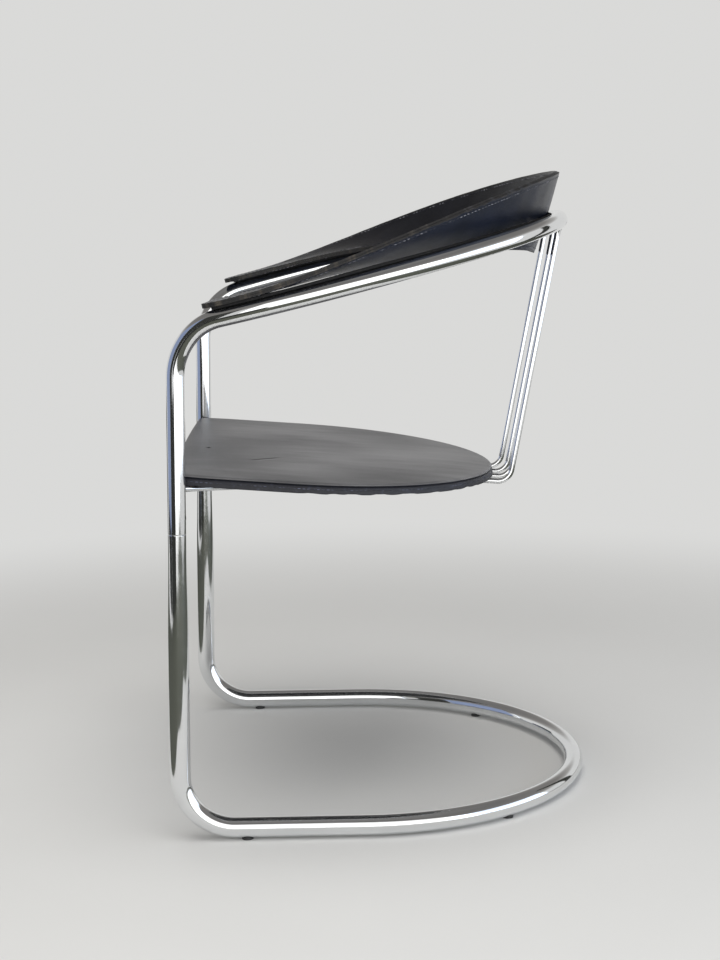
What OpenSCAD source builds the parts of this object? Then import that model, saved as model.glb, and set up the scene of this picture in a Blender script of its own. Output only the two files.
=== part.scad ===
// Cantilever lounge chair: two bent steel tubes, a leather-covered seat board on four steel rods,
// and one leather band that lies flat on the arms and stands up behind the back.
// Millimetres. The chair faces -Y, +Z is up, and the origin is on the floor under its middle.

/* [Lower tube] */
// Distance between the two legs, centre to centre
leg_span = 580; // [540:5:620]
// Depth of the floor loop, from the leg line to the middle of its rear bend
base_len = 516; // [470:2:560]
// Outer diameter of the lower tube
base_d = 25; // [23:0.5:28]
// Wall of both tubes
tube_wall = 2; // [1.5:0.25:2.5]
// Bend radius where a leg turns into the floor loop
foot_r = 66; // [50:1:90]
// Backward lean of the legs, in degrees
leg_lean = 0.7; // [0:0.1:2]
// Distance from the seat's top edge down to the joint between the two tubes
seam_drop = 70; // [53:1:98]
// Length of the swaged cone that narrows the leg below the joint
swage_len = 112; // [60:2:140]

/* [Upper tube] */
// Outer diameter of the upper tube
upper_d = 22; // [20:0.5:22.5]
// Height of the corner where a leg meets the arm, on the centre lines
arm_h = 622; // [600:1:650]
// Bend radius of that corner
corner_r = 74; // [55:1:90]
// Distance that the one arc of arms and back swings out past the legs' centre lines
arm_bulge = 40; // [30:1:50]
// Rise of the arm plane towards the back, measured from a square to the legs, in degrees
arm_tilt = 14.3; // [11:0.1:18]

/* [Tube joint] */
// Depth of the spigot in the lower tube, and of the straight end there
spigot_down = 25; // [20:1:35]
// Depth of the spigot in the upper tube
spigot_up = 40; // [30:1:60]
// Gap between the spigot and the tubes' bores
spigot_gap = 0.1; // [0.05:0.05:0.2]
// Diameter of the grub screw that locks each spigot
grub_d = 5; // [4:0.5:6]

/* [Rods] */
// Diameter of the four rods
rod_d = 7; // [6:0.5:8]
// Distance between two neighbouring rods at the back
rod_pitch = 44; // [36:1:52]
// Distance from the seat's rear tip to where the outer rods turn up
rod_stand = 17; // [12:1:24]
// Distance that the inner rods stand behind the outer ones at that turn
inner_rod_back = 4.5; // [2:0.5:8]
// Bend radius of that turn
rod_bend_r = 18; // [14:1:22]
// Distance from that turn forward to the bend where an outer rod starts to run straight back
knee_ahead = 88; // [75:1:110]
// Bend radius of that knee
knee_r = 40; // [25:1:60]
// Distance that the rods meet the back tube behind its centre line
rod_trail = 2; // [0:0.5:4]
// Diameter of the bar between the legs under the seat's front
bar_d = 12; // [10:0.5:16]

/* [Seat] */
// Height of the seat's top edge above the floor, on the leg line
seat_h = 448; // [430:1:465]
// Fall of the seat towards its rear, measured from a square to the legs, in degrees
seat_fall = 3.7; // [2:0.1:4.5]
// Distance from a leg's centre line in to the seat's side
seat_side_gap = 5; // [2:0.5:10]
// Distance from the leg line to the widest part of the rear curve
seat_side_y = 140; // [110:2:170]
// Distance from the leg line to the seat's rear tip
seat_back_y = 403; // [390:1:406]
// Distance that the front edge lies ahead of the leg line beside the legs
seat_front = 8; // [3:0.5:12]
// Bow of the front edge at its middle
seat_bow = 4; // [0:0.5:12]
// Width that each front corner's curve takes
corner_w = 17; // [12:1:24]
// Depth that each front corner's curve takes
corner_l = 53; // [45:1:70]
// Height of the seat's side, from the underside to the top edge
seat_t = 12.5; // [11:0.5:16]
// Rise of the seat's crown above its edge
crown = 3.5; // [1:0.5:6]
// Thickness of the seat's leather
seat_hide = 2.2; // [1.5:0.1:3]
// Thickness of the foam at the seat's edge
foam_edge = 1.5; // [1:0.25:3]
// Thickness of the lining under the board
lining_t = 0.8; // [0.5:0.1:1.5]
// Distance that the side strip's foot stands out past its top
side_slope = 2.5; // [1:0.25:4]

/* [Leather band] */
// Thickness of each of the band's two layers
hide_t = 2.8; // [2:0.1:3.5]
// Reach of the band outside the tube's centre line
band_out = 12; // [8:0.5:16]
// Reach of the band inside the tube's centre line, at the arms
band_in = 48; // [40:1:56]
// Height of the band's top edge above the tube's centre, at the back
band_rise = 60; // [50:1:70]
// Depth of the band's lower edge below the tube's centre, at the back
band_drop = 34.5; // [24:0.5:40]
// Distance that the lower edge draws in towards the tube at the back
band_tuck = 5; // [2:1:12]
// Length of the band's rounded arm ends
tip_len = 30; // [20:1:40]
// Angle from the middle of the back to the arm ends' tips, in degrees
band_angle = 114.1; // [110:0.1:116]
// Width of the steel strip between the tube and the band
strip_w = 16; // [12:1:18]
// Thickness of that strip
strip_t = 3.5; // [2.5:0.25:4.5]

/* [Small parts] */
// Height that the glides lift the tube off the floor
glide_h = 2; // [1.5:0.25:4]
// Diameter of a glide
glide_d = 14; // [12:1:20]
// Diameter of the screws in the clips and the strip
screw_d = 4; // [3:0.25:4.5]
// Thickness of the clips' steel
clip_t = 1.5; // [1:0.25:2]

/* [Hidden] */

// Circle segments of small rounds, and of bends and the great arcs
$fn = 32;
arc_fn = 192;
// Stretches of a bent tube stop this short of each other, and a ring inside the wall joins them
hair = 0.02;
weld_len = 1.2;
weld_inset = 0.4;

// Legs and floor loop
leg_x = leg_span / 2;
base_r = base_d / 2;
base_z = glide_h + base_r;
foot_turn = 90 + leg_lean;
foot_run = foot_r * tan(foot_turn / 2);
leg_y = -(base_len + foot_run - foot_r) / 2;
loop_y = leg_y + base_len - leg_x;
base_bore = base_d - 2 * tube_wall;
upper_bore = upper_d - 2 * tube_wall;
upper_r = upper_d / 2;

// Heights along a leg, from the floor loop's centre
seam_h = seat_h - seam_drop;
seam_z = (seam_h - base_z) / cos(leg_lean);
corner_z = (arm_h - base_z) / cos(leg_lean);
seat_z = (seat_h - base_z) / cos(leg_lean);

arm_r = leg_x + arm_bulge;

// The arms' arc: it meets each corner bend on a common tangent, so the two are solved together
function corner_turn(half) = acos(sin(half) * sin(arm_tilt));
function corner_run_at(half) = corner_r * tan(corner_turn(half) / 2);
function arc_half_at(run) = 180 - asin(leg_x / norm([arm_r, run])) - atan(run / arm_r);
function solve_half(steps) = steps == 0 ? 110 : arc_half_at(corner_run_at(solve_half(steps - 1)));
arc_half = solve_half(12);
corner_run = corner_run_at(arc_half);
arc_s = corner_run * sin(arc_half) - arm_r * cos(arc_half);
corner_heading = atan2(sin(arc_half) * cos(arm_tilt), -cos(arc_half));

// Rods: they lie against the seat's underside, then rise to the back tube
seat_w = leg_span - 2 * seat_side_gap;
rod_reach = seat_back_y + rod_stand;
rod_knee_y = rod_reach - knee_ahead;
seat_gap = 0.1;
rod_r = rod_d / 2;
rod_z = -(seat_t + rod_r + seat_gap);
bar_z = -(seat_t + bar_d / 2 + seat_gap);
outer_rod_x = 1.5 * rod_pitch;
inner_rod_x = rod_pitch / 2;
knee_turn = atan((leg_x - outer_rod_x) / rod_knee_y);
knee_run = knee_r * tan(knee_turn / 2);
slant_len = norm([leg_x - outer_rod_x, rod_knee_y]) - knee_run;
inner_reach = rod_reach + inner_rod_back;
// Place of a rod's lower corner, and of the back tube above it, square to the legs
function rod_foot(reach) = [reach * cos(seat_fall) + rod_z * sin(seat_fall),
                            seat_z - reach * sin(seat_fall) + rod_z * cos(seat_fall)];
function back_at(x) = arc_s + sqrt(arm_r * arm_r - x * x);
function rod_head(x) = [back_at(x) * cos(arm_tilt) + rod_trail, corner_z + back_at(x) * sin(arm_tilt)];
function rod_lean(x, reach) = let (rise = rod_head(x) - rod_foot(reach)) atan(rise[0] / rise[1]);
function rod_turn(x, reach) = 90 - rod_lean(x, reach) + seat_fall;
function rod_run(x, reach) = rod_bend_r * tan(rod_turn(x, reach) / 2);

// Clips on the rods
clip_flange = 8;
clip_len = 12;
clip_gap = 0.1;
clip_r = rod_r + clip_gap + clip_t;
clip_hole_x = clip_r + clip_flange / 2;
screw_head_d = 1.75 * screw_d;
screw_head_t = 0.5 * screw_d;
screw_gap = 0.05;
screw_bite = 6;
// Shares of an outer rod's slanted run and of an inner rod's straight run where the clips sit
outer_clip_shares = [0.3, 0.85];
inner_clip_shares = [0.72];
function along_slant(share) =
    [leg_x - share * slant_len * sin(knee_turn), share * slant_len * cos(knee_turn), knee_turn];
clip_sites = concat([for (share = outer_clip_shares) along_slant(share)],
                    [for (share = inner_clip_shares) [inner_rod_x, share * rod_reach, 0]]);

// Seat: heights of its layers, and insets of their outlines
board_top = -(seat_hide + foam_edge);
board_bottom = -(seat_t - lining_t);
cover_inset = side_slope;
board_inset = side_slope + seat_hide + seat_gap;
front_half = seat_w / 2 - corner_w;
front_points = 8;
corner_points = 5;
rear_points = 44;
// Outline of the seat seen from above, anticlockwise, drawn in from its edge by an inset
function seat_outline(inset) = concat(
    [for (i = [0 : front_points])
        let (share = 2 * i / front_points - 1)
        [share * front_half, inset - seat_front - seat_bow * (1 - share * share)]],
    [for (i = [1 : corner_points])
        let (turn = 90 * i / corner_points - 90)
        [front_half + (corner_w - inset) * cos(turn), corner_l - seat_front + (corner_l - inset) * sin(turn)]],
    [for (i = [0 : rear_points])
        let (turn = 180 * i / rear_points)
        [(seat_w / 2 - inset) * cos(turn), seat_side_y + (seat_back_y - seat_side_y - inset) * sin(turn)]],
    [for (i = [0 : corner_points - 1])
        let (turn = 180 + 90 * i / corner_points)
        [-front_half + (corner_w - inset) * cos(turn), corner_l - seat_front + (corner_l - inset) * sin(turn)]]);
// The crown: rings of the outline, drawn in by these shares towards the seat's middle
ring_shares = [1, 0.96, 0.86, 0.66, 0.36];
seat_mid = [0, (seat_back_y - seat_front) / 2];
function crown_at(share) = crown * (1 - pow(share, 4));

// Leather band: a strip whose middle face is bent along the tube, with the glue line between its layers
glue_half = 0.08;
strip_half = strip_w / 2;
band_mid = upper_r + strip_t + hide_t;
strip_short = 20;
strip_angle = band_angle - strip_short / arm_r * 180 / PI;
rise_angle = 106;
rise_shape_share = 1.7;
drop_angle = 94;
drop_shape_share = 0.78;
sag_max = 4;
across = 6;
along = 52;
tip_steps = 5;
tip_angle = tip_len / arm_r * 180 / PI;
function ease(x) = x <= 0 ? 0 : x >= 1 ? 1 : x * x * (3 - 2 * x);
function rise_share(phi) = ease(1 - pow(abs(phi) / rise_angle, rise_shape_share));
function drop_share(phi) = ease(1 - pow(abs(phi) / drop_angle, drop_shape_share));
// Both edges of the middle face at an angle, as distance out from the tube's centre and height
function top_edge(phi) = [band_out, band_mid + (band_rise - band_mid) * rise_share(phi)];
function low_edge(phi) =
    [-band_in + band_tuck * drop_share(phi), band_mid - (band_drop + band_mid) * drop_share(phi)];
function face_dir(phi) = (top_edge(phi) - low_edge(phi)) / norm(top_edge(phi) - low_edge(phi));
function face_normal(phi) = [-face_dir(phi)[1], face_dir(phi)[0]];
// Lean of the band at an angle: 0 lies flat on the arm
function face_lean(phi) = atan2(face_dir(phi)[1], face_dir(phi)[0]);
// Bow of the band towards the tube, which brings its middle down to the strip where it can
function bow_need(phi) =
    let (share = -low_edge(phi) * face_dir(phi) / norm(top_edge(phi) - low_edge(phi)))
    max(0, low_edge(phi) * face_normal(phi) - band_mid) / (4 * share * (1 - share));
function bow(phi) = sag_max * bow_need(phi) / (bow_need(phi) + sag_max);
function band_point(phi, share, off) =
    low_edge(phi) + (top_edge(phi) - low_edge(phi)) * share
    + face_normal(phi) * (off - 4 * bow(phi) * share * (1 - share));
// A point by its angle on the arc, distance out from the tube's centre, and height
function arc_point(phi, place) =
    [(arm_r + place[0]) * sin(phi), (arm_r + place[0]) * cos(phi), place[1]];
// Stations along the band: each is an angle and the share of the width that it keeps
tip_from = band_angle - tip_angle;
tip_stations = [for (i = [1 : tip_steps])
    let (turn = 84 * i / tip_steps)
    [tip_from + tip_angle * sin(turn), cos(turn)]];
band_stations = concat(
    [for (i = [tip_steps - 1 : -1 : 0]) [-tip_stations[i][0], tip_stations[i][1]]],
    [for (i = [0 : along]) [tip_from * (2 * i / along - 1), 1]],
    tip_stations);
function band_section(station, off_a, off_b) = concat(
    [for (i = [0 : across])
        let (share = 0.5 + (i / across - 0.5) * station[1])
        arc_point(station[0], band_point(station[0], share, off_a))],
    [for (i = [across : -1 : 0])
        let (share = 0.5 + (i / across - 0.5) * station[1])
        arc_point(station[0], band_point(station[0], share, off_b))]);
function strip_section(phi) =
    [for (corner = [[upper_r, -strip_half], [upper_r, strip_half],
                    [upper_r + strip_t, strip_half], [upper_r + strip_t, -strip_half]])
        arc_point(phi, face_normal(phi) * corner[0] + face_dir(phi) * corner[1])];

// Faces of a swept solid: rings of equal counts, joined in turn, with a strip of triangles at each end
function ring_faces(rings, count) = [for (i = [0 : rings - 2], j = [0 : count - 1])
    let (a = i * count + j, b = i * count + (j + 1) % count)
    each [[a, a + count, b], [b, a + count, b + count]]];
function end_faces(first, count, flip) = [for (j = [0 : count / 2 - 2])
    let (a = first + j, b = first + j + 1, c = first + count - 1 - j, d = first + count - 2 - j)
    each (flip ? [[a, b, c], [b, d, c]] : [[a, c, b], [b, c, d]])];
function flat(lists) = [for (list = lists, item = list) item];

// Screws of the strip, the grubs and the glides' pegs
strip_screw_angles = [-100, -12, 12, 100];
grub_z = seam_z + spigot_up / 2;
grub_bite = 4;
grub_len = tube_wall + grub_bite;
peg_d = 5;
peg_len = 4;
peg_gap = 0.1;
glide_seat = 2.75;
glide_gap = 0.05;
rear_glide_turn = 52;
front_glide_y = leg_y + foot_run + glide_d;

steel = "gainsboro";
hide = "#2b2b2f";
seat_grey = "#4a4a4d";
blacked = "#1c1c1e";
ply = "burlywood";

// The legs' own frame: its origin is where the leg line meets the floor loop, and Z runs up a leg
module upright() {
    translate([0, leg_y, base_z]) rotate([-leg_lean, 0, 0]) children();
}

// The arms' plane, with its origin at the arc's centre
module arm_plane() {
    upright() translate([0, 0, corner_z]) rotate([arm_tilt, 0, 0]) translate([0, arc_s, 0]) children();
}

// The seat's plane, with its origin on the leg line at the top edge
module seat_plane() {
    upright() translate([0, 0, seat_z]) rotate([-seat_fall, 0, 0]) children();
}

module sided(side) {
    mirror([side < 0 ? 1 : 0, 0, 0]) children();
}

module both_sides() {
    for (side = [-1, 1]) sided(side) children();
}

module ring(outer, bore) {
    difference() {
        circle(d = outer);
        if (bore > 0) circle(d = bore);
    }
}

// The ring inside the wall that joins two stretches of a bent tube or rod at the origin
module weld(outer, bore) {
    translate([0, 0, -weld_len / 2]) linear_extrude(weld_len)
        ring(outer - 2 * weld_inset, bore > 0 ? bore + 2 * weld_inset : 0);
}

// A straight stretch of tube or rod, welded to what comes before and after it
module straight(outer, bore, len, before = true, after = true) {
    start = before ? hair : 0;
    translate([0, 0, start]) linear_extrude(len - start - (after ? hair : 0)) ring(outer, bore);
    if (before) weld(outer, bore);
    if (after) translate([0, 0, len]) weld(outer, bore);
}

// A bend that starts at the origin along Z and curls towards +X
module bend(outer, bore, radius, turn) {
    translate([radius, 0, 0]) rotate([90, 0, 180])
        rotate_extrude(angle = turn, $fn = arc_fn) translate([radius, 0]) ring(outer, bore, $fn = 32);
}

// The place and heading at the end of such a bend
module after_bend(radius, turn) {
    translate([radius * (1 - cos(turn)), 0, radius * sin(turn)]) rotate([0, turn, 0]) children();
}

// A peg hole's or a grub's place on a tube: both are drilled square to the tube
module grub_place() {
    upright() translate([leg_x, 0, grub_z]) rotate([-90, 0, 0]) children();
}

module glide_places(which) {
    if (which == "front") translate([leg_x, front_glide_y, 0]) children();
    if (which == "rear")
        translate([leg_x * sin(rear_glide_turn), loop_y + leg_x * cos(rear_glide_turn), 0])
            rotate([0, 0, 90 - rear_glide_turn]) children();
}

module foot_bend() {
    translate([leg_x, leg_y + foot_run, base_z + foot_r]) rotate([90, 0, 90])
        rotate([0, 0, 270 - foot_turn]) rotate_extrude(angle = foot_turn, $fn = arc_fn)
            translate([foot_r, 0]) ring(base_d, base_bore, $fn = 32);
}

// A leg up to the joint: straight, then a swaged cone, then a short straight end
module lower_leg() {
    swage_z = seam_z - spigot_down - swage_len;
    upright() translate([leg_x, 0, 0]) {
        rotate_extrude() polygon([
            [base_bore / 2, foot_run + hair], [base_r, foot_run + hair], [base_r, swage_z],
            [upper_r, swage_z + swage_len], [upper_r, seam_z], [upper_bore / 2, seam_z],
            [upper_bore / 2, swage_z + swage_len], [base_bore / 2, swage_z]]);
        translate([0, 0, foot_run]) weld(base_d, base_bore);
    }
}

module floor_loop() {
    both_sides() {
        lower_leg();
        foot_bend();
        translate([leg_x, leg_y + foot_run, base_z]) rotate([-90, 0, 0])
            straight(base_d, base_bore, base_len - leg_x - foot_run);
    }
    translate([0, loop_y, base_z]) rotate_extrude(angle = 180, $fn = arc_fn)
        translate([leg_x, 0]) ring(base_d, base_bore, $fn = 32);
}

// The floor loop and both lower legs, one bent tube, drilled below for the glides' pegs
module base_tube() {
    color(steel) difference() {
        floor_loop();
        both_sides() for (which = ["front", "rear"]) glide_places(which)
            cylinder(d = peg_d + 2 * peg_gap, h = base_z);
    }
}

// The solid form of the arms and back, which also shapes what is welded to it
module arm_arc(outer, bore) {
    half = arc_half - hair / arm_r * 180 / PI;
    arm_plane() rotate([0, 0, 90 - half]) rotate_extrude(angle = 2 * half, $fn = arc_fn)
        translate([arm_r, 0]) ring(outer, bore, $fn = 32);
}

// An upper leg and its corner bend, up to where the arc starts
module upper_leg() {
    len = corner_z - corner_run - seam_z;
    upright() translate([leg_x, 0, seam_z]) {
        straight(upper_d, upper_bore, len, before = false);
        translate([0, 0, len]) rotate([0, 0, corner_heading]) {
            bend(upper_d, upper_bore, corner_r, corner_turn(arc_half));
            after_bend(corner_r, corner_turn(arc_half)) weld(upper_d, upper_bore);
        }
    }
}

// Both upper legs, the arms and the back, one bent tube
module upper_tube() {
    color(steel) difference() {
        union() {
            arm_arc(upper_d, upper_bore);
            both_sides() upper_leg();
        }
        both_sides() grub_place() cylinder(d = grub_d, h = upper_d);
        strip_screw_places() translate([0, 0, -upper_d]) cylinder(d = screw_d + 2 * screw_gap, h = 2 * upper_d);
    }
}

// A solid pin that joins a lower leg to an upper one, threaded for the grub
module spigot(side) {
    color(steel) sided(side) difference() {
        upright() translate([leg_x, 0, seam_z - spigot_down])
            cylinder(d = upper_bore - 2 * spigot_gap, h = spigot_down + spigot_up);
        grub_place() cylinder(d = grub_d, h = upper_d);
    }
}

module spigot_screws() {
    color(blacked) both_sides() grub_place() translate([0, 0, upper_r - grub_len - screw_gap])
        cylinder(d = grub_d - 2 * screw_gap, h = grub_len);
}

// The legs' outside as a solid, which copes the ends of what is welded to them
module leg_core() {
    both_sides() upright() translate([leg_x, 0, seam_z]) cylinder(d = upper_d, h = corner_z - seam_z);
}

module bar_core() {
    seat_plane() translate([-leg_x, 0, bar_z]) rotate([0, 90, 0]) cylinder(d = bar_d, h = leg_span);
}

// The bar between the legs under the seat's front edge
module front_bar() {
    color(steel) difference() {
        bar_core();
        leg_core();
    }
}

// A rod's turn at the seat's rear and its upright, which ends in the back tube
module rod_upright(x, reach) {
    rise = norm(rod_head(x) - rod_foot(reach)) - rod_run(x, reach);
    rotate([-90, 0, 0]) rotate([0, 0, -90]) {
        bend(rod_d, 0, rod_bend_r, rod_turn(x, reach));
        after_bend(rod_bend_r, rod_turn(x, reach)) straight(rod_d, 0, rise, after = false);
    }
}

// An outer rod: from the leg inwards under the seat, straight back, then up
module outer_rod(side) {
    run = rod_run(outer_rod_x, rod_reach);
    color(steel) sided(side) difference() {
        seat_plane() translate([0, 0, rod_z]) {
            translate([leg_x, 0, 0]) rotate([-90, 0, knee_turn]) {
                straight(rod_d, 0, slant_len, before = false);
                translate([0, 0, slant_len]) bend(rod_d, 0, knee_r, knee_turn);
            }
            translate([outer_rod_x, rod_knee_y + knee_run, 0]) rotate([-90, 0, 0])
                straight(rod_d, 0, rod_reach - run - rod_knee_y - knee_run);
            translate([outer_rod_x, rod_reach - run, 0]) rod_upright(outer_rod_x, rod_reach);
        }
        leg_core();
        arm_arc(upper_d, 0);
    }
}

// An inner rod: from the front bar straight back, then up
module inner_rod(side) {
    run = rod_run(inner_rod_x, inner_reach);
    color(steel) sided(side) difference() {
        seat_plane() translate([inner_rod_x, 0, rod_z]) {
            rotate([-90, 0, 0]) straight(rod_d, 0, inner_reach - run, before = false);
            translate([0, inner_reach - run, 0]) rod_upright(inner_rod_x, inner_reach);
        }
        bar_core();
        arm_arc(upper_d, 0);
    }
}

module clip_places() {
    both_sides() seat_plane() for (site = clip_sites)
        translate([site[0], site[1], -(seat_t + seat_gap)]) rotate([0, 0, site[2]]) children();
}

// Places of the clips' screws, each at the clip's underside
module clip_screw_places() {
    clip_places() for (side = [-1, 1]) translate([side * clip_hole_x, 0, 0]) children();
}

// One saddle: a strap bent round the rod, with a drilled flange on each side
module clip() {
    difference() {
        union() {
            translate([0, -clip_len / 2, -rod_r]) rotate([-90, 0, 0]) cylinder(r = clip_r, h = clip_len);
            translate([-clip_r - clip_flange, -clip_len / 2, -clip_t])
                cube([2 * (clip_r + clip_flange), clip_len, clip_t]);
        }
        translate([0, -clip_len, -rod_r]) rotate([-90, 0, 0])
            cylinder(r = rod_r + clip_gap, h = 2 * clip_len);
        translate([-clip_r - clip_flange, -clip_len, 0])
            cube([2 * (clip_r + clip_flange), 2 * clip_len, 2 * clip_r]);
        translate([-rod_r - clip_gap, -clip_len, -rod_r])
            cube([rod_d + 2 * clip_gap, 2 * clip_len, 2 * clip_r]);
        for (side = [-1, 1]) translate([side * clip_hole_x, 0, -clip_len])
            cylinder(d = screw_d + 2 * screw_gap, h = 2 * clip_len);
    }
}

module rod_clips() {
    color(steel) clip_places() clip();
}

module clip_screws() {
    color(steel) clip_screw_places() {
        translate([0, 0, -clip_t - screw_head_t]) cylinder(d = screw_head_d, h = screw_head_t);
        translate([0, 0, -clip_t - screw_gap]) cylinder(d = screw_d, h = clip_t + screw_bite);
    }
}

module seat_layer(inset, bottom, height) {
    difference() {
        seat_plane() translate([0, 0, bottom]) linear_extrude(height) polygon(seat_outline(inset));
        clip_screw_places() translate([0, 0, -clip_t])
            cylinder(d = screw_d + 2 * screw_gap, h = clip_t + screw_bite);
    }
}

// The thin lining that covers the board's underside
module seat_lining() {
    color(blacked) seat_layer(board_inset, -seat_t, lining_t);
}

// The plywood board that carries the sitter
module seat_board() {
    color(ply) seat_layer(board_inset, board_bottom, board_top - board_bottom);
}

// A crowned pad between two faces: each face has its edge height and its share of the crown
module crowned(inset, low, low_crown, high, high_crown) {
    outline = seat_outline(inset);
    count = len(outline);
    rings = len(ring_shares);
    level = function (edge, part, share) edge + part * crown_at(share);
    face = function (edge, part, order) [for (k = order, p = outline)
        let (share = ring_shares[k], at = seat_mid + (p - seat_mid) * share)
        [at[0], at[1], level(edge, part, share)]];
    points = concat(
        [[seat_mid[0], seat_mid[1], level(high, high_crown, 0)]],
        face(high, high_crown, [rings - 1 : -1 : 0]),
        face(low, low_crown, [0 : rings - 1]),
        [[seat_mid[0], seat_mid[1], level(low, low_crown, 0)]]);
    last = len(points) - 1;
    faces = concat(
        [for (j = [0 : count - 1]) [0, 1 + (j + 1) % count, 1 + j]],
        [for (i = [0 : 2 * rings - 2], j = [0 : count - 1])
            let (a = 1 + i * count + j, b = 1 + i * count + (j + 1) % count)
            each [[a, b, a + count], [b, b + count, a + count]]],
        [for (j = [0 : count - 1]) [last, last - count + j, last - count + (j + 1) % count]]);
    polyhedron(points, faces);
}

// The thin foam under the leather: flat below, crowned above
module seat_foam() {
    color("dimgray") seat_plane() crowned(board_inset, board_top, 0, board_top + foam_edge, 1);
}

// The seat's leather top
module seat_cover() {
    color(seat_grey) seat_plane() crowned(cover_inset, -seat_hide, 1, 0, 1);
}

// The leather strip round the seat's side, stitched to the top and flared at its foot
module seat_side_strip() {
    loops = [[side_slope + seat_hide, -seat_hide], [side_slope, -seat_hide], [0, -seat_t], [seat_hide, -seat_t]];
    count = len(seat_outline(0));
    points = [for (loop = loops, p = seat_outline(loop[0])) [p[0], p[1], loop[1]]];
    faces = [for (i = [0 : 3], j = [0 : count - 1])
        let (a = i * count + j, b = i * count + (j + 1) % count,
             c = ((i + 1) % 4) * count + j, d = ((i + 1) % 4) * count + (j + 1) % count)
        each [[a, b, c], [b, d, c]]];
    color(hide) seat_plane() polyhedron(points, faces);
}

module swept(sections, flip) {
    count = len(sections[0]);
    rings = len(sections);
    polyhedron(flat(sections), concat(
        ring_faces(rings, count),
        end_faces(0, count, flip),
        end_faces((rings - 1) * count, count, !flip)));
}

// A place on the arms' arc, with Z along the band's normal there
module strip_screw_places() {
    arm_plane() for (phi = strip_screw_angles)
        rotate([0, 0, -phi]) translate([0, arm_r, 0]) rotate([face_lean(phi), 0, 0]) children();
}

// The blackened steel strip on the tube, which carries the leather
module support_strip() {
    color(blacked) difference() {
        arm_plane() swept([for (i = [0 : along]) strip_section(strip_angle * (2 * i / along - 1))], true);
        strip_screw_places() cylinder(d = screw_d + 2 * screw_gap, h = upper_d);
    }
}

// Headless screws that hold the strip, flush with the tube's underside
module strip_screws() {
    color(steel) strip_screw_places()
        translate([0, 0, -upper_r]) cylinder(d = screw_d, h = upper_d + strip_t - screw_gap);
}

// The band's outer layer, against the strip
module band_outer() {
    color(hide) arm_plane() swept([for (station = band_stations) band_section(station, -hide_t, -glue_half)], true);
}

// The band's inner layer, towards the sitter
module band_inner() {
    color(hide) arm_plane() swept([for (station = band_stations) band_section(station, glue_half, hide_t)], true);
}

// A glide: a disc hollowed to the tube, with a peg that presses into it
module glide(side, which) {
    color(blacked) sided(side) {
        difference() {
            glide_places(which) cylinder(d = glide_d, h = glide_h + glide_seat);
            glide_core(which);
        }
        glide_places(which) cylinder(d = peg_d, h = glide_h + tube_wall + peg_len);
    }
}

// The tube's outside at a glide
module glide_core(which) {
    if (which == "front")
        translate([leg_x, front_glide_y - glide_d, base_z]) rotate([-90, 0, 0])
            cylinder(d = base_d + 2 * glide_gap, h = 2 * glide_d);
    if (which == "rear")
        translate([0, loop_y, base_z]) rotate_extrude($fn = arc_fn)
            translate([leg_x, 0]) circle(d = base_d + 2 * glide_gap, $fn = 32);
}

base_tube();
upper_tube();
spigot(-1);  // left_spigot
spigot(1);  // right_spigot
spigot_screws();
front_bar();
outer_rod(-1);  // left_outer_rod
outer_rod(1);  // right_outer_rod
inner_rod(-1);  // left_inner_rod
inner_rod(1);  // right_inner_rod
rod_clips();
clip_screws();
seat_lining();
seat_board();
seat_foam();
seat_cover();
seat_side_strip();
support_strip();
strip_screws();
band_outer();
band_inner();
glide(-1, "front");  // front_left_glide
glide(1, "front");  // front_right_glide
glide(-1, "rear");  // rear_left_glide
glide(1, "rear");  // rear_right_glide
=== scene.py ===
from math import acos, asin, atan, ceil, cos, degrees, hypot, pi, radians, sin, sqrt, tan

import bmesh
import bpy
from mathutils import Matrix, Vector, noise


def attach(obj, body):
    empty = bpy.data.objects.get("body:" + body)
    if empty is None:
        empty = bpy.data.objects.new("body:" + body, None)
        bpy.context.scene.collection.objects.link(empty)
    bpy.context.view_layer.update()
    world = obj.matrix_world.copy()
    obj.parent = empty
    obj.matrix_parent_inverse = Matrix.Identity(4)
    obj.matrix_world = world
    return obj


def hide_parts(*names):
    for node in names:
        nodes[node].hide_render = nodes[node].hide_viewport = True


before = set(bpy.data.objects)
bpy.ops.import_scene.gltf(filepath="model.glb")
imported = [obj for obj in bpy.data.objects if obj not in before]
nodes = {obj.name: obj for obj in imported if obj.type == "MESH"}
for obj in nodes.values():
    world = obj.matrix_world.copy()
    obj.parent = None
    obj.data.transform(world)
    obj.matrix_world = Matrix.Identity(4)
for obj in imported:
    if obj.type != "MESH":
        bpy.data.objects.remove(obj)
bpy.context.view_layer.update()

# Floor loop and lower legs: one steel tube, 25 mm outside, bent at both feet and round the rear,
# swaged down to 22 mm below the joint in each leg, then polished and chrome plated.
leg_x = 0.290
base_len = 0.516
base_r = 0.0125
foot_r = 0.066
leg_lean = radians(0.7)
seam_h = 0.378
swage_len = 0.112
spigot_down = 0.025
upper_r = 0.011
glide_h = 0.002
base_z = glide_h + base_r
foot_run = foot_r * tan((pi / 2 + leg_lean) / 2)
leg_y = -(base_len + foot_run - foot_r) / 2
loop_y = leg_y + base_len - leg_x
seam_z = (seam_h - base_z) / cos(leg_lean)
tube_sides = 64
end_round = 0.0004
legs_frame = Matrix.Translation((0, leg_y, base_z)) @ Matrix.Rotation(-leg_lean, 4, "X")


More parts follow.
